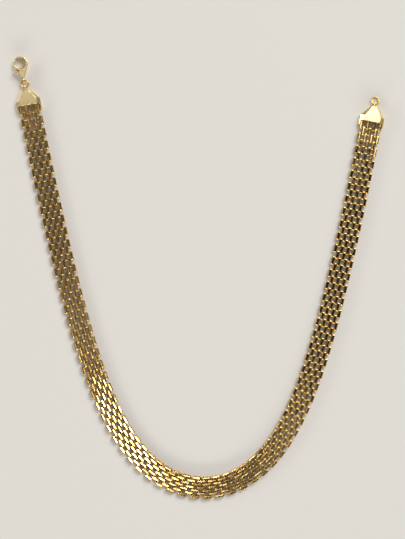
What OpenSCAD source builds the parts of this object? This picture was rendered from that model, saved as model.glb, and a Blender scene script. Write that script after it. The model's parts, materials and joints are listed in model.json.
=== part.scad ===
// Brick-link chain necklace, laid open in a U on a flat surface.
// Seven columns of small slotted bricks hang together on cross pins. Each row holds four or
// three bricks by turns, so neighbouring columns are staggered by half a brick, and every pin
// runs through the ends of both rows that meet on it. The U's lowest pin is pin 0, pins to the
// right have positive numbers and pins to the left have negative ones. Row k lies between
// pins k and k + 1.

/* [Bricks] */
// Spacing of the cross pins along the band
row_pitch = 2.8; // [2.6:0.05:3.2]
// Spacing of the seven columns across the band
column_pitch = 1.38; // [1.38:0.02:1.7]
// Length of one brick
brick_length = 4.0; // [3.8:0.05:4.1]
// Width of one brick across the band
brick_width = 1.22; // [1.1:0.02:1.22]
// Height of one brick
brick_height = 1.8; // [1.6:0.05:1.9]
// Radius of a brick's rounded corners, seen from the side
brick_corner = 0.6; // [0.3:0.05:0.6]

/* [Pins] */
// Diameter of the cross pins
pin_d = 0.6; // [0.5:0.05:0.6]
// Play between a pin and the slot of a brick, all round
pin_play = 0.06; // [0.05:0.01:0.08]
// Diameter of a pin's peened head
head_d = 1.0; // [0.9:0.05:1.1]
// Thickness of a pin's peened head
head_t = 0.15; // [0.1:0.05:0.25]

/* [Shape of the U] */
// Slope of the legs away from the U's base, in degrees
leg_angle = 80; // [70:0.5:82]
// Length over which each leg turns up from the base
bend_length = 46; // [42:1:60]
// How quickly a leg becomes straight past its bend
straightness = 2.3; // [1.6:0.1:4]
// Rows from the lowest pin to the left end
left_rows = 72; // [66:2:76]
// Rows from the lowest pin to the right end
right_rows = 69; // [65:2:75]

/* [End caps] */
// Length of an end cap, from its pin to its tip
cap_length = 7.2; // [6:0.2:9]
// Width of an end cap's tip
cap_tip_w = 3.6; // [3:0.2:6]
// Height of an end cap
cap_h = 3.0; // [3:0.1:3.4]
// Thickness of an end cap's cheeks
cap_wall = 0.5; // [0.5:0.05:0.7]
// Width of the sloped sides of an end cap, seen from above
cap_bevel = 1.6; // [1.2:0.1:1.6]

/* [Rings] */
// Diameter of the wire of the loops and jump rings
wire_d = 0.6; // [0.5:0.05:0.6]
// Mean diameter of the jump rings
ring_d = 3.2; // [3:0.1:4]
// Mean diameter of the loops on the caps and the clasp
loop_d = 1.9; // [1.9:0.1:2.1]

/* [Clasp] */
// Thickness of the clasp's body
clasp_h = 2.6; // [2.6:0.1:3]
// Outer radius of the clasp's hook
hook_r = 3.2; // [3.2:0.1:3.4]
// Thickness of the clasp's gate
gate_t = 1.0; // [0.9:0.05:1.05]

/* [Hidden] */
$fn = 32;
columns = 7;
rows_per_piece = 10;
pieces = 7;
mid = (columns - 1) / 2;
outer_column = mid * column_pitch;
band_half_w = outer_column + brick_width / 2;
pin_z = brick_height / 2;
slot_h = pin_d + 2 * pin_play;
fit_play = 0.02;
cheek_play = 0.12;
cap_half_w = band_half_w + cheek_play + cap_wall;
cap_nose = 1.5;
cap_shoulder = 2.6;
gold = [0.83, 0.66, 0.34];
dark_gold = [0.55, 0.40, 0.16];
pale_gold = [0.93, 0.83, 0.60];

// The heading rises from 0 at the base to the slope of the leg, x / (1 + x^n)^(1/n) of it. Where
// the band turns, its pins close up, so the bricks of the outermost column keep their full pitch.
function bend_n(s) = 1 + pow(s / bend_length, straightness);
function heading(s) = leg_angle * s / bend_length * pow(bend_n(s), -1 / straightness);
function curvature(s) =
    leg_angle * PI / 180 / bend_length * pow(bend_n(s), -1 - 1 / straightness);
function stride(s) = row_pitch / (1 + curvature(s) * outer_column);
function along(angle) = [cos(angle), sin(angle)];
function across(angle) = [-sin(angle), cos(angle)];

// Places and headings of the pins from the lowest one up the right leg: [x, y, heading]
half_run = [
    for (
        k = 0, s = 0, at = [0, 0];
        k <= max(left_rows, right_rows);
        at = at + stride(s) * along(heading(s + stride(s) / 2)), s = s + stride(s), k = k + 1
    )
    [at.x, at.y, heading(s)]
];
function raw_pin(k) = k < 0 ? [-half_run[-k].x, half_run[-k].y, -half_run[-k].z] : half_run[k];

// End fittings lie in line with the last pin: distances out from it along the leg
loop_x = cap_length + 1.15;
ring_r = ring_d / 2;
loop_z = (loop_d + wire_d) / 2;
ring_z = loop_z - 0.25;
ring_tilt = asin((ring_z - wire_d / 2) / ring_d);
clasp_x = loop_x + ring_d;
hook_x = 7.2;
right_reach = loop_x + ring_d * cos(ring_tilt) + wire_d / 2;
function outward(side) = side > 0 ? half_run[right_rows].z : 180 - half_run[left_rows].z;
function last_pin(side) = raw_pin(side > 0 ? right_rows : -left_rows);
function flat(v) = [v.x, v.y];

// The origin is the middle of the footprint, on the surface
outline = concat(
    [for (k = [-left_rows:right_rows], side = [-1, 1])
        flat(raw_pin(k)) + side * (band_half_w + head_t + fit_play) * across(raw_pin(k).z)],
    [for (end = [-1, 1], side = [-1, 1], x = [-cap_nose, cap_shoulder])
        flat(last_pin(end)) + x * along(outward(end)) + side * cap_half_w * across(outward(end))],
    [for (a = [0:10:350])
        flat(last_pin(-1)) + (clasp_x + hook_x) * along(outward(-1)) + hook_r * along(a)],
    [for (a = [0:10:350])
        flat(last_pin(1)) + (right_reach - ring_r - wire_d / 2) * along(outward(1))
            + (ring_r + wire_d / 2) * along(a)]
);
xs = [for (p = outline) p.x];
ys = [for (p = outline) p.y];
centre = [(min(xs) + max(xs)) / 2, (min(ys) + max(ys)) / 2];
function pin(k) = raw_pin(k) - [centre.x, centre.y, 0];
function spot(k, column) = flat(pin(k)) + (column - mid) * column_pitch * across(pin(k).z);

// The band is cut into a centre piece and seven pieces a side, hinged on the pins between them
function cut(j, side) = j < pieces ? rows_per_piece / 2 + rows_per_piece * j
    : side > 0 ? right_rows : left_rows;
function two_digits(j) = str(j < 10 ? "0" : "", j);
function piece_name(what, side, j) =
    side == 0 ? str(what, "_centre") : str(what, side > 0 ? "_right_" : "_left_", two_digits(j));

KINDS = ["wide_rows", "narrow_rows", "pins"];

// One brick, seen from its side and pushed out across the band: rounded ends, and one long
// slot for the two pins
module brick() {
    corner_x = brick_length / 2 - brick_corner;
    corner_z = brick_height / 2 - brick_corner;
    rotate([90, 0, 0])
        linear_extrude(brick_width, center = true)
            difference() {
                union() {
                    square([brick_length, 2 * corner_z], center = true);
                    square([2 * corner_x, brick_height], center = true);
                    for (x = [-1, 1], z = [-1, 1])
                        translate([x * corner_x, z * corner_z]) circle(brick_corner);
                }
                square([row_pitch, slot_h], center = true);
                for (x = [-1, 1]) translate([x * row_pitch / 2, 0]) circle(slot_h / 2);
            }
}

// The bricks of row k: four of them in the odd columns, or three in the even ones
function is_wide(k) = k % 2 == 0;
module row(k) {
    first = is_wide(k) ? 0 : 1;
    for (column = [first:2:columns - 1]) {
        from = spot(k, column);
        to = spot(k + 1, column);
        way = to - from;
        translate([(from.x + to.x) / 2, (from.y + to.y) / 2, pin_z])
            rotate([0, 0, atan2(way.y, way.x)])
                brick();
    }
}

// One cross pin with a peened head at each end
module cross_pin(k) {
    reach = band_half_w + fit_play;
    translate([pin(k).x, pin(k).y, pin_z])
        rotate([0, 0, pin(k).z])
            rotate([90, 0, 0]) {
                cylinder(d = pin_d, h = 2 * reach + head_t, center = true);
                for (side = [-1, 1])
                    translate([0, 0, side * (reach + head_t / 2)])
                        cylinder(d = head_d, h = head_t, center = true);
            }
}

// The rows of one piece that hold four bricks, or the ones that hold three
function rows_of(side, j) = side == 0 ? [for (k = [-cut(0, 0):cut(0, 0) - 1]) k]
    : [for (k = [cut(j - 1, side):cut(j, side) - 1]) side > 0 ? k : -k - 1];
module rows(side, j, wide) {
    color(gold)
        for (k = rows_of(side, j))
            if (is_wide(k) == wide) row(k);
}

// Each piece holds the pins outward of its first one. The pin of an end cap is the cap's.
module pins(side, j) {
    last = cut(j, side) - (j == pieces ? 1 : 0);
    color(dark_gold)
        if (side == 0)
            for (k = [-cut(0, 0):cut(0, 0)]) cross_pin(k);
        else
            for (k = [cut(j - 1, side) + 1:last]) cross_pin(side * k);
}

// Puts its children at the last pin of a side, with +X pointing out along the leg
module at_end(side) {
    at = pin(side > 0 ? right_rows : -left_rows);
    translate([at.x, at.y, 0]) rotate([0, 0, outward(side)]) children();
}

// A cap's outline, drawn in by a distance on its two sides
module cap_outline(inset) {
    half_w = cap_half_w - inset;
    tip = (cap_tip_w - inset) / 2;
    polygon([
        [-cap_nose, -half_w], [cap_shoulder, -half_w], [cap_length, -tip],
        [cap_length, tip], [cap_shoulder, half_w], [-cap_nose, half_w]
    ]);
}

// A folded cap: sloped sides down to cheeks beside the last row, and a hollow that the row
// swings in. Its flat top starts past the pin, and the cheeks reach further back.
module end_cap(side) {
    bevel_foot = 1.65;
    mouth_half = cap_half_w - cap_wall;
    mouth_depth = 1.05;
    mouth_top = 1.9;
    top_edge = 0.4;
    wall = 0.45;
    hollow_end = 4.6;
    hollow_half = 2.5;
    color(pale_gold)
        at_end(side)
            difference() {
                hull() {
                    linear_extrude(bevel_foot) cap_outline(0);
                    linear_extrude(cap_h) cap_outline(cap_bevel);
                }
                translate([-cap_nose - 1, -mouth_half, -1])
                    cube([cap_nose + 1 + mouth_depth, 2 * mouth_half, 1 + mouth_top]);
                translate([-cap_nose - 1, -mouth_half, -1])
                    cube([cap_nose + 1 + top_edge, 2 * mouth_half, cap_h + 2]);
                translate([0, -hollow_half, wall])
                    cube([hollow_end, 2 * hollow_half, cap_h - 2 * wall]);
                translate([0, 0, pin_z])
                    rotate([90, 0, 0])
                        cylinder(d = pin_d + 2 * fit_play, h = 3 * cap_half_w, center = true);
                translate([cap_length, 0, loop_z])
                    rotate([0, 90, 0])
                        cylinder(d = wire_d + 2 * fit_play, h = 2, center = true);
            }
}

// The pin of the last row, held in the cap's cheeks
module end_pin(side) {
    color(dark_gold)
        at_end(side)
            translate([0, 0, pin_z])
                rotate([90, 0, 0])
                    cylinder(d = pin_d, h = 2 * cap_half_w, center = true);
}

module wire_ring(mean_d) {
    rotate_extrude() translate([mean_d / 2, 0]) circle(d = wire_d);
}

// An upright loop on a post that is soldered into its cap
module cap_loop(side) {
    color(gold)
        at_end(side)
            translate([loop_x, 0, loop_z]) {
                rotate([90, 0, 0]) wire_ring(loop_d);
                translate([-loop_d / 2 - 1, 0, 0])
                    rotate([0, 90, 0])
                        cylinder(d = wire_d, h = 1);
            }
}

// The left ring lies level between two loops. The right one hangs down to the surface.
module jump_ring(side) {
    color(gold)
        at_end(side)
            translate([loop_x, 0, ring_z])
                rotate([0, side > 0 ? ring_tilt : 0, 0])
                    translate([ring_r, 0, 0]) wire_ring(ring_d);
}

// Clasp, in its own flat frame: its loop is at the origin and its hook points to +X
pivot = [4.5, 1.75];
pivot_d = 0.7;
hub_r = 1.15;
slot_r = 1.65;
gate_z = 0.8;
gate_play = 0.05;
opening = [7.5, 0];
opening_r = 2.3;
gate_from = 44;
gate_to = 128;
gate_reach = 4.5;
spring_r = 0.72;
spring_wire = 0.13;

module at_clasp() {
    at_end(-1) translate([clasp_x, 0, 0]) children();
}

module wedge(from, to) {
    polygon(concat([[0, 0]], [for (a = [from:(to - from) / 4:to]) 6 * along(a)]));
}

module clasp_body() {
    color(pale_gold)
        at_clasp() {
            translate([0, 0, loop_z]) rotate([90, 0, 0]) wire_ring(loop_d);
            difference() {
                linear_extrude(clasp_h)
                    difference() {
                        union() {
                            translate([hook_x, 0]) circle(hook_r, $fn = 64);
                            polygon([[1, -0.5], [4.4, -2.2], [6, -3], [6, 3], [4.4, 2.2], [1, 0.5]]);
                            translate(pivot) circle(hub_r);
                        }
                        translate(opening) circle(opening_r, $fn = 64);
                        translate([hook_x, 0]) wedge(gate_from - 3, gate_to);
                    }
                translate([pivot.x, pivot.y, gate_z - gate_play])
                    cylinder(r = slot_r, h = gate_t + 2 * gate_play);
                translate([pivot.x, pivot.y, gate_z + gate_t])
                    cylinder(r = spring_r + 0.2, h = 4 * spring_wire + gate_play + 0.05);
                translate([pivot.x, pivot.y, -1])
                    cylinder(d = pivot_d + 2 * fit_play, h = clasp_h + 2);
            }
        }
}

// The gate closes the hook from the pivot to the hook's point and has a thumb tab outside
module clasp_gate() {
    tab = [[-0.8, 0], [-0.6, 1.9], [0.2, 1.8], [0.7, 0]];
    color(gold)
        at_clasp()
            translate([0, 0, gate_z])
                difference() {
                    union() {
                        linear_extrude(gate_t)
                            difference() {
                                intersection() {
                                    translate([hook_x, 0]) circle(hook_r - 0.1, $fn = 64);
                                    translate([hook_x, 0]) wedge(gate_from, 150);
                                    translate(pivot) circle(gate_reach, $fn = 64);
                                }
                                translate(opening) circle(opening_r + 0.05, $fn = 64);
                            }
                        translate(pivot) cylinder(r = hub_r - 0.1, h = gate_t);
                        translate(pivot) linear_extrude(gate_t) polygon(tab);
                    }
                    translate([pivot.x, pivot.y, -1])
                        cylinder(d = pivot_d + 2 * pin_play, h = gate_t + 2);
                }
}

module clasp_pivot() {
    color(dark_gold)
        at_clasp()
            translate([pivot.x, pivot.y, 0]) cylinder(d = pivot_d, h = clasp_h);
}

// Two turns of spring wire round the pivot, in a recess above the gate
module clasp_spring() {
    color("silver")
        at_clasp()
            for (turn = [0, 1])
                translate([pivot.x, pivot.y, gate_z + gate_t + gate_play + (2 * turn + 1) * spring_wire])
                    rotate_extrude() translate([spring_r, 0]) circle(r = spring_wire);
}

for (side = [0, 1, -1], j = side == 0 ? [0] : [1:pieces]) {
    rows(side, j, true);
    rows(side, j, false);
    pins(side, j);
}
for (side = [-1, 1]) {
    end = side > 0 ? "_right" : "_left";
    end_cap(side);
    end_pin(side);
    cap_loop(side);
    jump_ring(side);
}
clasp_body();
clasp_gate();
clasp_pivot();
clasp_spring();
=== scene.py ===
# %% [markdown]
# # A gold brick-link chain
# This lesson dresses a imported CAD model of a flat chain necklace. The CAD model says where every
# brick, pin and ring is. Each step below makes one kind of piece as a finer surface in the same
# place, and gives it a polished gold that is never a single flat colour.

# %% Load the frame
import json
import math

import bpy
import numpy as np
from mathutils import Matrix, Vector


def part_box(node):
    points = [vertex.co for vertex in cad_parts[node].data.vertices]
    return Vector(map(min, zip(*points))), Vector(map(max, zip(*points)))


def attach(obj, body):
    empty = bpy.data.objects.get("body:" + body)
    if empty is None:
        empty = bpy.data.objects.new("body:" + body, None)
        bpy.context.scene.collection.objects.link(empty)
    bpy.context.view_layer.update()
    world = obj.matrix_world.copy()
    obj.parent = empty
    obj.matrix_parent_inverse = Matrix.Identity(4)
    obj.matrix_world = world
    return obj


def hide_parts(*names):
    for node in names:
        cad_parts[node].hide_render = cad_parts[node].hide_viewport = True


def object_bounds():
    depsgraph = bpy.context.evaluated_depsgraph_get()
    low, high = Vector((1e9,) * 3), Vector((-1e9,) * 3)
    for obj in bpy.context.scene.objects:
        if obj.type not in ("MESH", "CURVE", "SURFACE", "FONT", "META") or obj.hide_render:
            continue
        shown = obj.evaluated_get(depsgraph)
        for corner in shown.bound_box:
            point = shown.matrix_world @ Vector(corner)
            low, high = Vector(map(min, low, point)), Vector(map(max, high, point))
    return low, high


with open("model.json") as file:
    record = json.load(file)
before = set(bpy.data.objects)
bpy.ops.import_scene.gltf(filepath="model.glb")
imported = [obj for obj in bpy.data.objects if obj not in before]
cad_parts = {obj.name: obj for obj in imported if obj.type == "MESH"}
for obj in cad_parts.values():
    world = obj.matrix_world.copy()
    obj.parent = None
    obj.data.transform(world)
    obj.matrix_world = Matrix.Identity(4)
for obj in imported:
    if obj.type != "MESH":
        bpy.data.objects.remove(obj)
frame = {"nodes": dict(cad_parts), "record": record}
cad_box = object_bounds()
MM = 0.001
chance = np.random.default_rng(7)

# %% [markdown]
# The camera hangs straight over the necklace, because the chain lies flat and faces it. Its
# place is worked out from the box of the centre piece, the lowest part of the U. It could look
# through a long lens or an orthographic one. A mild perspective is chosen, because the flat tops
# of the bricks then mirror a slightly different part of the room from one end to the other.

# %% Camera over the chain
PICTURE_W = 405
PICTURE_H = 539
PICTURE_SCALE = 0.44 * MM        # width of the chain's plane that one picture unit covers
CAMERA_HEIGHT = 0.70
ROLL = math.radians(0.33)
SENSOR = 36                      # mm, the longer side of a full frame
VIEW_RIGHT = -0.2 * MM           # from the middle of the centre piece to the picture's middle
VIEW_UP = 101.1 * MM             # from the low edge of the centre pins to the picture's middle

base_low, base_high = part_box("pins_centre")
band_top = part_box("wide_rows_centre")[1].z
base_x = (base_low.x + base_high.x) / 2
view_centre = Vector((base_x + VIEW_RIGHT, base_low.y + VIEW_UP, band_top))

lens = bpy.data.cameras.new("over_the_chain")
lens.sensor_fit = "VERTICAL"
lens.sensor_height = SENSOR
lens.sensor_width = SENSOR * PICTURE_W / PICTURE_H
lens.lens = lens.sensor_height * CAMERA_HEIGHT / (PICTURE_H * PICTURE_SCALE)
lens.clip_start = 0.01
camera = bpy.data.objects.new("over_the_chain", lens)
camera.location = view_centre + Vector((0, 0, CAMERA_HEIGHT))
camera.rotation_euler = (0, 0, -ROLL)
bpy.context.scene.collection.objects.link(camera)
bpy.context.scene.camera = camera
print("lens mm:", round(lens.lens, 1))

# %% [markdown]
# Shader arithmetic reads best as plain arithmetic. A small class wraps a socket, and each
# operator adds the Math node that it stands for. Every other node comes from one method.

# %% A socket that does arithmetic


class Wire:
    """A node's output. +, -, * and ** on it add Math nodes."""

    def __init__(self, maker, socket):
        self.maker = maker
        self.socket = socket

    def _math(self, operation, a, b):
        return self.maker.node("ShaderNodeMath", {"operation": operation}, {0: a, 1: b})

    def __add__(self, other):
        return self._math("ADD", self, other)

    def __radd__(self, other):
        return self._math("ADD", other, self)

    def __sub__(self, other):
        return self._math("SUBTRACT", self, other)

    def __rsub__(self, other):
        return self._math("SUBTRACT", other, self)

    def __mul__(self, other):
        return self._math("MULTIPLY", self, other)

    def __rmul__(self, other):
        return self._math("MULTIPLY", other, self)

    def __pow__(self, other):
        return self._math("POWER", self, other)


class Nodes:
    """Makes the nodes of one tree."""

    def __init__(self, owner):
        owner.use_nodes = True
        self.tree = owner.node_tree

    def node(self, kind, settings=None, inputs=None, output=0):
        made = self.tree.nodes.new(kind)
        for key, value in (settings or {}).items():
            if key == "stops":
                ramp = made.color_ramp
                for i, (place, colour) in enumerate(value):
                    stop = ramp.elements[i] if i < 2 else ramp.elements.new(place)
                    stop.position = place
                    stop.color = colour
            else:
                setattr(made, key, value)
        for key, value in (inputs or {}).items():
            if isinstance(value, Wire):
                self.tree.links.new(value.socket, made.inputs[key])
            else:
                made.inputs[key].default_value = value
        return Wire(self, made.outputs[output])


class Finish(Nodes):
    """One material, its shader and the patterns that feed it."""

    def __init__(self, name):
        self.material = bpy.data.materials.new(name)
        super().__init__(self.material)
        self.shader = self.tree.nodes["Principled BSDF"]

    def surface(self, **values):
        """Sets the shader's own sockets: a wire is linked, and a plain value is stored."""
        for key, value in values.items():
            socket = self.shader.inputs[key.replace("_", " ")]
            if isinstance(value, Wire):
                self.tree.links.new(value.socket, socket)
            else:
                socket.default_value = value

    def place(self, size):
        """Object coordinates, so many times finer than a metre."""
        spot = self.node("ShaderNodeTexCoord", output="Object")
        return self.node("ShaderNodeMapping", None, {"Vector": spot, "Scale": (size,) * 3})

    def noise(self, size, detail=3.0, roughness=0.55):
        return self.node(
            "ShaderNodeTexNoise",
            None,
            {"Vector": self.place(size), "Scale": 1.0, "Detail": detail, "Roughness": roughness},
        )

    def mix(self, factor, a, b):
        return self.node(
            "ShaderNodeMix", {"data_type": "RGBA"}, {0: factor, 6: a, 7: b}, output=2
        )

    def attribute(self, name):
        return self.node("ShaderNodeAttribute", {"attribute_name": name}, output="Fac")


# %% [markdown]
# Gold plate is a mirror with a warm tint. What tells it from yellow plastic is how it varies: each brick
# was tumbled a little differently, the hollows between bricks are painted a darker, redder shade, and
# fine rub marks blur the reflections. The tone comes from a number stored on each brick, and the painted
# shade from a number stored on each point.

# %% Gold finishes


def gold(name, bright, deep, gloss, grain):
    """Polished gold plate.

    The colour runs from deep to bright with the tone of the piece, plus a slow noise, and is then mixed
    toward a darker, redder painted shade by a number stored on each point. The roughness is gloss, plus
    a little where a finer noise says that the piece was rubbed, and more under the painted shade.
    """
    finish = Finish(name)
    drift = finish.noise(90.0, 2.0)
    rubbed = finish.noise(900.0, 4.0)
    tone = finish.attribute("tone")
    film = finish.attribute("film")
    plate = finish.mix(0.75 * tone + 0.5 * drift - 0.12, (*deep, 1), (*bright, 1))
    # Painted shade: the colour of the hollows, a darker and redder copy of the deep gold.
    shade = tuple(0.45 * c for c in deep[:2]) + (0.3 * deep[2],)
    finish.surface(
        Base_Color=finish.mix(film, plate, (*shade, 1)),
        Metallic=1.0,
        Roughness=gloss + 1.2 * grain * (rubbed ** 2.0) + 0.25 * film,
    )
    bump = finish.node(
        "ShaderNodeBump",
        None,
        {"Strength": grain, "Distance": 0.02 * MM, "Height": finish.noise(4200.0, 2.0)},
    )
    finish.surface(Normal=bump)
    return finish.material


brick_gold = gold("brick_gold", (0.97, 0.68, 0.27), (0.76, 0.44, 0.10), 0.09, 0.10)
# Painted shade: the pins take a darker, browner copy of the brick gold, so that the gaps where they sit
# read dark.
pin_gold = gold("pin_gold", (0.70, 0.42, 0.10), (0.42, 0.22, 0.04), 0.20, 0.15)
cap_gold = gold("cap_gold", (1.0, 0.84, 0.50), (1.0, 0.80, 0.43), 0.13, 0.05)
ring_gold = gold("ring_gold", (0.94, 0.64, 0.20), (0.78, 0.48, 0.11), 0.12, 0.10)


def wire_steel():
    finish = Finish("spring_steel")
    worn = finish.noise(700.0)
    finish.surface(
        Base_Color=finish.mix(worn, (0.42, 0.42, 0.41, 1), (0.62, 0.62, 0.60, 1)),
        Metallic=1.0,
        Roughness=0.2 + 0.2 * worn,
    )
    return finish.material


spring_steel = wire_steel()
print("finishes:", brick_gold.name, pin_gold.name, cap_gold.name, ring_gold.name)

# %% [markdown]
# The CAD model keeps every brick as a closed solid among others in one node. To put a finer
# brick in its place, the solids are told apart first: points that share a triangle get one
# label, and the labels spread until they stand still. A brick lies flat, so its place is its
# centre, and its way is the long axis of its points seen from above.

# %% Find each solid of a node


def solids(node):
    """The points of each separate solid in a CAD node, as a list of arrays."""
    mesh = frame["nodes"][node].data
    points = np.empty(3 * len(mesh.vertices))
    mesh.vertices.foreach_get("co", points)
    corners = np.empty(len(mesh.loops), int)
    mesh.loops.foreach_get("vertex_index", corners)
    places, same = np.unique(points.reshape(-1, 3).round(7), axis=0, return_inverse=True)
    triangles = same.ravel()[corners].reshape(-1, 3)
    label = np.arange(len(places))
    while True:
        lowest = np.repeat(label[triangles].min(axis=1), 3)
        spread = label.copy()
        np.minimum.at(spread, triangles.ravel(), lowest)
        spread = spread[spread]
        if (spread == label).all():
            break
        label = spread
    return [places[label == one] for one in np.unique(label)]


def lie(points):
    """(centre, heading) of a flat-lying solid: the long axis of its points seen from above."""
    flat = points[:, :2] - points[:, :2].mean(axis=0)
    _, axes = np.linalg.eigh(flat.T @ flat)
    along = axes[:, 1]
    frame_2d = np.stack([along, (-along[1], along[0])])
    turned = points[:, :2] @ frame_2d.T
    middle = (turned.min(axis=0) + turned.max(axis=0)) / 2 @ frame_2d
    height = (points[:, 2].min() + points[:, 2].max()) / 2
    return np.array([*middle, height]), math.atan2(along[1], along[0])


def extent(points, heading):
    """(length, width, height) of a flat-lying solid along and across its heading."""
    c, s = math.cos(heading), math.sin(heading)
    local = points @ np.array([[c, -s, 0], [s, c, 0], [0, 0, 1]])
    return local.max(axis=0) - local.min(axis=0)


sample = solids("wide_rows_centre")
sample_heading = lie(sample[0])[1]
BRICK_L, BRICK_W, BRICK_H = extent(sample[0], sample_heading)
print("wide-row bricks in the centre piece:", len(sample))
print("brick size mm:", np.round(1000 * np.array([BRICK_L, BRICK_W, BRICK_H]), 2))

# %% [markdown]
# A mesh is made from whole arrays: points, faces, and the direction that each point's surface
# faces. The stored directions let a brick of a few dozen faces shade like a rounded one: the
# points round a flat top all face up, and the points of the rolled edge turn to the side.

# %% Arrays to a piece


def piece(name, points, faces, facing, material, numbers=None):
    """A smooth-shaded object of the given points and quads, with its own shading directions."""
    mesh = bpy.data.meshes.new(name)
    mesh.from_pydata(points.tolist(), [], faces.tolist())
    mesh.shade_smooth()
    mesh.normals_split_custom_set_from_vertices(facing.tolist())
    for key, values in (numbers or {}).items():
        layer = mesh.attributes.new(key, "FLOAT", "POINT")
        layer.data.foreach_set("value", np.ascontiguousarray(values, np.float32))
    mesh.materials.append(material)
    made = bpy.data.objects.new(name, mesh)
    bpy.context.scene.collection.objects.link(made)
    return made


def strip(first, second, count):
    """Quads between two closed rings of count points whose numbers start at first and second."""
    here = np.arange(count)
    there = (here + 1) % count
    return np.stack([first + here, second + here, second + there, first + there], axis=1)


def place_all(template, facing, faces, spots, turns):
    """Copies of one template: each is turned by its matrix and moved to its spot."""
    points = np.einsum("nij,vj->nvi", turns, template) + spots[:, None, :]
    directions = np.einsum("nij,vj->nvi", turns, facing)
    shift = len(template) * np.arange(len(spots))
    every_face = faces[None] + shift[:, None, None]
    return points.reshape(-1, 3), directions.reshape(-1, 3), every_face.reshape(-1, faces.shape[1])


# %% [markdown]
# A brick is a bar of sheet gold rolled into a flat tube on edge: a rounded outline seen from the
# side, pushed out across the band, with one long slot for its two pins. Its edges could be
# bevelled with a modifier, but a bevel on five hundred bricks costs many faces. Here four rings
# of points make the body, drawn in at the two ends so that the brick is also rounded seen from
# above, and the stored directions do the rest of the rounding.

# %% The brick's surface
EDGE = 0.13 * MM
CORNER = 0.6 * MM
END_DRAW = 0.20 * MM
SLOT_H = 0.72 * MM
SLOT_L = BRICK_L - 0.48 * MM
SLOT_ROUND = 0.999               # just under 1, so that no two points of its outline meet


def rounded_outline(length, height, radius, steps):
    """Points and outward directions round a rounded rectangle, steps to a corner.

    Each corner is a quarter circle: centre + radius * (cos a, sin a).
    """
    angles = np.linspace(0, math.pi / 2, steps)
    quarter = np.arange(4)[:, None]
    a = (angles[None, :] + quarter * math.pi / 2).ravel()
    sign_x = np.repeat([1, -1, -1, 1], steps)
    sign_z = np.repeat([1, 1, -1, -1], steps)
    way = np.stack([np.cos(a), np.sin(a)], axis=1)
    centre = np.stack([sign_x * (length / 2 - radius), sign_z * (height / 2 - radius)], axis=1)
    return centre + radius * way, way


def brick_template():
    """Rings of points from one side to the other, then through the slot.

    Each ring is an outline in X and Z at a side place y, its outward directions, and how far
    those lean to the side. Near the two ends y is END_DRAW * |cos a| ** 2 nearer the middle.
    """
    steps = 3
    outer, way = rounded_outline(BRICK_L, BRICK_H, CORNER, steps)
    slot, inward = rounded_outline(SLOT_L, SLOT_H, SLOT_H / 2 * SLOT_ROUND, steps)
    count = len(outer)
    half = BRICK_W / 2
    end = np.abs(way[:, 0]) ** 2
    rim = half - END_DRAW * end
    rings = [
        (slot, -half, 0 * way, -1.0),
        (outer - EDGE * way, -rim, 0 * way, -1.0),
        (outer, EDGE - rim, way, -0.06 - 0.35 * end),
        (outer, rim - EDGE, way, 0.06 + 0.35 * end),
        (outer - EDGE * way, rim, 0 * way, 1.0),
        (slot, half, 0 * way, 1.0),
        (slot, half, -inward, 0.0),
        (slot, -half, -inward, 0.0),
    ]
    points = np.concatenate([np.insert(xz, 1, y, axis=1) for xz, y, _, _ in rings])
    facing = np.concatenate([np.insert(xz, 1, y, axis=1) for _, _, xz, y in rings])
    facing /= np.linalg.norm(facing, axis=1)[:, None]
    joined = [(0, 1), (1, 2), (2, 3), (3, 4), (4, 5), (6, 7)]
    faces = np.concatenate([strip(a * count, b * count, count) for a, b in joined])
    # Painted shade on each ring: full on the slot's inner wall, nearly full round the slot on the two
    # sides, half where the sides meet the rolled edge, none on the rolled edge and the top.
    film = np.repeat([0.9, 0.45, 0.0, 0.0, 0.45, 0.9, 1.0, 1.0], count)
    return points, facing, faces, film


brick_points, brick_facing, brick_faces, brick_painted_shade = brick_template()
print("faces in a brick:", len(brick_faces))

# %% [markdown]
# The template lies along X. A matrix for each brick turns it to where its CAD solid points. The
# three turns of all bricks are stacked, so that one product over the stack makes every matrix.

# %% Turn matrices


def turned(headings, pitch=0.0, roll=0.0):
    """Matrices that roll a piece about X, pitch it about Y, and turn it about Z."""
    h = np.asarray(headings, float)
    p = np.broadcast_to(pitch, h.shape)
    r = np.broadcast_to(roll, h.shape)
    one, zero = np.ones_like(h), np.zeros_like(h)
    about_z = np.array(
        [[np.cos(h), -np.sin(h), zero], [np.sin(h), np.cos(h), zero], [zero, zero, one]]
    )
    about_y = np.array(
        [[np.cos(p), zero, np.sin(p)], [zero, one, zero], [-np.sin(p), zero, np.cos(p)]]
    )
    about_x = np.array(
        [[one, zero, zero], [zero, np.cos(r), -np.sin(r)], [zero, np.sin(r), np.cos(r)]]
    )
    return np.einsum("ijn,jkn,kln->nil", about_z, about_y, about_x)


# %% [markdown]
# No two bricks of a worn chain stand quite alike. Each one here is rocked by a degree or so, as
# far as its pins let it, and that is what makes the light jump from brick to brick.

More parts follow.
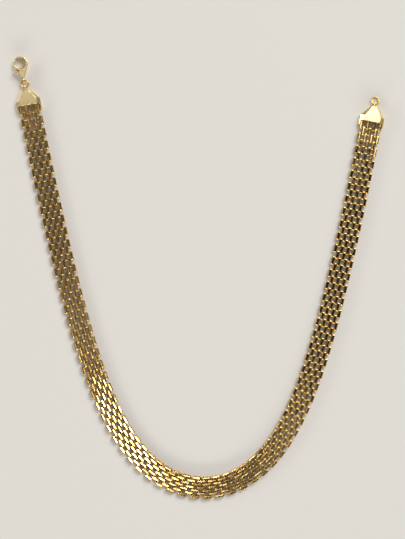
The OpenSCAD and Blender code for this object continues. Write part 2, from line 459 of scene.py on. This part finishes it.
# %% Bricks for every piece of the band
ROCK = math.radians(1.1)
TONES = (0.2, 1.0)               # the range of tone from one brick or pin to the next
band_pieces = sorted(n for n in frame["nodes"] if "_rows_" in n)
body_of = {n: b for b, ns in frame["record"]["behaviour"]["bodies"].items() for n in ns}
brick_count = 0
for node in band_pieces:
    lies = [lie(points) for points in solids(node)]
    spots = np.array([centre for centre, _ in lies])
    headings = np.array([heading for _, heading in lies])
    headings = np.where(np.cos(headings) < 0, headings + math.pi, headings)
    turns = turned(headings, *chance.normal(0, ROCK / 2, (2, len(spots))).clip(-ROCK, ROCK))
    points, directions, faces = place_all(brick_points, brick_facing, brick_faces, spots, turns)
    numbers = {
        "tone": np.repeat(chance.uniform(*TONES, len(spots)), len(brick_points)),
        "film": np.tile(brick_painted_shade, len(spots)),
    }
    bricks = piece(node.replace("rows", "bricks"), points, faces, directions, brick_gold, numbers)
    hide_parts(node)
    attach(bricks, body_of[node])
    brick_count += len(spots)
print("bricks:", brick_count)

# %% [markdown]
# Each cross pin is a drawn wire whose ends are hammered into low domes, so that it can't slide
# out. It is a lathe shape: a profile of radius against place along the pin, turned round.

# %% The pins
PIN_SIDES = 10


def lathe(radii, along, sides, slopes):
    """A profile turned about Y. slopes are each ring's (outward, along) shading direction."""
    a = np.linspace(0, 2 * math.pi, sides, endpoint=False)
    round_x, round_z = np.cos(a), np.sin(a)

    def ring(r, y):
        return np.stack([r * round_x, np.full(sides, y), r * round_z], axis=1)

    points = np.concatenate([ring(r, y) for r, y in zip(radii, along)])
    facing = np.concatenate([ring(outward, y) for outward, y in slopes])
    facing /= np.linalg.norm(facing, axis=1)[:, None]
    faces = np.concatenate([strip((i + 1) * sides, i * sides, sides) for i in range(len(radii) - 1)])
    return points, facing, faces


pin_solids = solids("pins_centre")
pin_size = extent(pin_solids[0], lie(pin_solids[0])[1])
PIN_R = 0.3 * MM
HEAD_R = pin_size[2] / 2
HEAD_T = 0.15 * MM
half_pin = pin_size[0] / 2
head_radii = [0.02 * HEAD_R, 0.62 * HEAD_R, 0.96 * HEAD_R, HEAD_R, PIN_R]
head_drop = [0.0, 0.02 * MM, 0.07 * MM, HEAD_T, HEAD_T]
head_along = [half_pin - drop for drop in head_drop]
head_slopes = [(0, 1), (0.35, 1), (1, 0.6), (1, 0), (1, 0)]
pin_points, pin_facing, pin_faces = lathe(
    [*head_radii, *head_radii[::-1]],
    [*head_along, *[-y for y in head_along[::-1]]],
    PIN_SIDES,
    [*head_slopes, *[(o, -y) for o, y in head_slopes[::-1]]],
)
print("pin length mm:", round(1000 * pin_size[0], 2), "faces in a pin:", len(pin_faces))

for node in sorted(n for n in frame["nodes"] if n.startswith("pins_")):
    lies = [lie(points) for points in solids(node)]
    spots = np.array([centre for centre, _ in lies])
    headings = np.array([heading for _, heading in lies]) + math.pi / 2
    points, directions, faces = place_all(pin_points, pin_facing, pin_faces, spots, turned(headings))
    # Painted shade on each pin: darkest in its middle, which sits inside the bricks, fading to none at
    # the two heads.
    numbers = {
        "tone": np.repeat(chance.uniform(*TONES, len(spots)), len(pin_points)),
        "film": np.tile(np.clip(1 - 1.2 * np.abs(pin_points[:, 1]) / half_pin, 0.0, 0.8), len(spots)),
    }
    rods = piece(node.replace("pins", "cross_pins"), points, faces, directions, pin_gold, numbers)
    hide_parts(node)
    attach(rods, body_of[node])

# %% [markdown]
# The caps and the clasp's gate are few, so a bevel modifier on their CAD shapes costs little.
# Their faces come in as loose triangles. They are welded, and triangles in one plane are joined,
# or the bevel would catch on every short edge.

# %% Rolled edges on the caps and the gate
WELD_WITHIN = 0.002 * MM
FLAT_WITHIN = math.radians(1.5)  # triangles that meet at less than this are one flat face
SHARP_OVER = math.radians(35)    # edges that turn by more than this are rolled


def roll_edges(node, width, steps):
    """Welds a CAD node, joins its flat faces and rolls its sharp edges, all as modifiers."""
    thing = frame["nodes"][node]
    weld = thing.modifiers.new("weld", "WELD")
    weld.merge_threshold = WELD_WITHIN
    join = thing.modifiers.new("join_flat", "DECIMATE")
    join.decimate_type = "DISSOLVE"
    join.angle_limit = FLAT_WITHIN
    bevel = thing.modifiers.new("rolled_edge", "BEVEL")
    bevel.width = width
    bevel.segments = steps
    bevel.limit_method = "ANGLE"
    bevel.angle_limit = SHARP_OVER
    bevel.harden_normals = True
    bevel.use_clamp_overlap = False


for end in ("left", "right"):
    roll_edges(f"end_cap_{end}", 0.14 * MM, 3)
roll_edges("clasp_gate", 0.18 * MM, 3)

# %% [markdown]
# The clasp's body was cast and tumbled, so it is rounder than a folded cap. A wider bevel was
# tried, but it threw out spikes. So the body is wrapped in an even skin of small quads, and a
# few passes of smoothing wear the skin round.

# %% The tumbled clasp


def tumble(node, grain, passes):
    """Wraps a CAD node in one even skin of small quads and wears its edges round."""
    thing = frame["nodes"][node]
    skin = thing.modifiers.new("even_skin", "REMESH")
    skin.mode = "VOXEL"
    skin.voxel_size = grain
    skin.use_smooth_shade = True
    worn = thing.modifiers.new("worn_round", "SMOOTH")
    worn.factor = 0.5
    worn.iterations = passes


tumble("clasp_body", 0.1 * MM, 5)

# %% [markdown]
# These pieces keep their CAD surface, so they only need a finish. A piece takes the one whose
# name its own starts with, and that serves the left and the right end alike.

# %% Finishes on the small pieces
FINISH_OF = {
    "end_cap": cap_gold,
    "clasp_body": cap_gold,
    "clasp_gate": cap_gold,
    "clasp_spring": spring_steel,
    "cap_loop": cap_gold,
    "jump_ring": ring_gold,
    "end_pin": pin_gold,
    "clasp_pivot": pin_gold,
}
for node, thing in frame["nodes"].items():
    for family, finish in FINISH_OF.items():
        if node.startswith(family):
            thing.data.materials.clear()
            thing.data.materials.append(finish)

# %% [markdown]
# The chain is lit as jewellery is, with soft boxes that its flat tops mirror. A flat top at a
# place p beside the point under the camera mirrors the ceiling at p * (H + h) / H, where H and h
# are the heights of the camera and of the ceiling above the chain. So a small bright box over
# the lower left makes the bricks there white, another picks out the right cap, and larger dim
# ones leave the rest a mid gold. Long low strips draw the bright beads on the rolled ends. A lamp
# in the middle of the ceiling would be simpler, but it would turn every flat top the same white.
# The picture is shown with the Standard transform, because the default one left the gold pale.

# %% Floor and lights
CEILING = 0.72
FLOOR_REACH = 9


def floor_finish():
    finish = Finish("pale_floor")
    finish.surface(Base_Color=(0.80, 0.785, 0.76, 1), Roughness=0.6)
    return finish.material


def soft_light(name, place, aim, size, glow, colour=(1.0, 0.97, 0.92)):
    """A rectangular lamp at a place, turned to face the aim. glow is its brightness as seen."""
    lamp = bpy.data.lights.new(name, "AREA")
    lamp.shape = "RECTANGLE"
    lamp.size, lamp.size_y = size
    lamp.energy = glow * math.pi * size[0] * size[1]
    lamp.color = colour
    made = bpy.data.objects.new(name, lamp)
    made.location = place
    made.rotation_euler = (Vector(aim) - Vector(place)).to_track_quat("-Z", "Y").to_euler()
    made.visible_camera = False
    bpy.context.scene.collection.objects.link(made)


def ceiling_box(name, x_span, y_span, glow):
    """A level box that the flat tops within these spans (mm from under the camera) mirror."""
    reach = (CAMERA_HEIGHT + CEILING) / CAMERA_HEIGHT * MM
    x, y = (reach * sum(span) / 2 for span in (x_span, y_span))
    size = [reach * (span[1] - span[0]) for span in (x_span, y_span)]
    place = view_centre + Vector((x, y, CEILING))
    soft_light(name, place, place - Vector((0, 0, 1)), size, glow)


ground = bpy.data.meshes.new("floor")
ground_corners = [(FLOOR_REACH * x, FLOOR_REACH * y, 0) for x, y in ((-1, -1), (1, -1), (1, 1), (-1, 1))]
ground.from_pydata(ground_corners, [], [(0, 1, 2, 3)])
ground.materials.append(floor_finish())
floor = bpy.data.objects.new("floor", ground)
bpy.context.scene.collection.objects.link(floor)

middle = (cad_box[0] + cad_box[1]) / 2
ceiling_box("key_box", (-46, -15), (-100, -55), 18.0)
ceiling_box("left_low_box", (-85, -40), (-53, -8), 0.45)
ceiling_box("left_box", (-85, -44), (-8, 66), 0.14)
ceiling_box("clasp_box", (-90, -66), (68, 100), 1.2)
ceiling_box("right_box", (6, 45), (-100, -50), 0.15)
ceiling_box("cap_box", (62, 83), (65, 80), 7.0)
soft_light("front_strip", (0.0, -2.2, 0.60), middle, (3.0, 0.40), 9)
soft_light("side_strip", (-2.0, 0.3, 0.60), middle, (2.4, 0.40), 5)
soft_light("back_fill", (1.7, 2.2, 2.4), middle, (2.4, 2.0), 7)


def room():
    """A pale room that is dim only straight overhead, where the flat tops look."""
    world = bpy.data.worlds.new("room")
    sky = Nodes(world)
    way = sky.node("ShaderNodeTexCoord", output="Generated")
    height = sky.node("ShaderNodeSeparateXYZ", None, {0: way}, output="Z")
    dim = sky.node("ShaderNodeMapRange", None, {0: height, 1: 0.78, 2: 0.96, 3: 0.24, 4: 0.015})
    lit = sky.tree.nodes["Background"].inputs
    lit["Color"].default_value = (1.0, 0.98, 0.95, 1)
    sky.tree.links.new(dim.socket, lit["Strength"])
    return world


bpy.context.scene.world = room()
bpy.context.scene.view_settings.view_transform = "Standard"
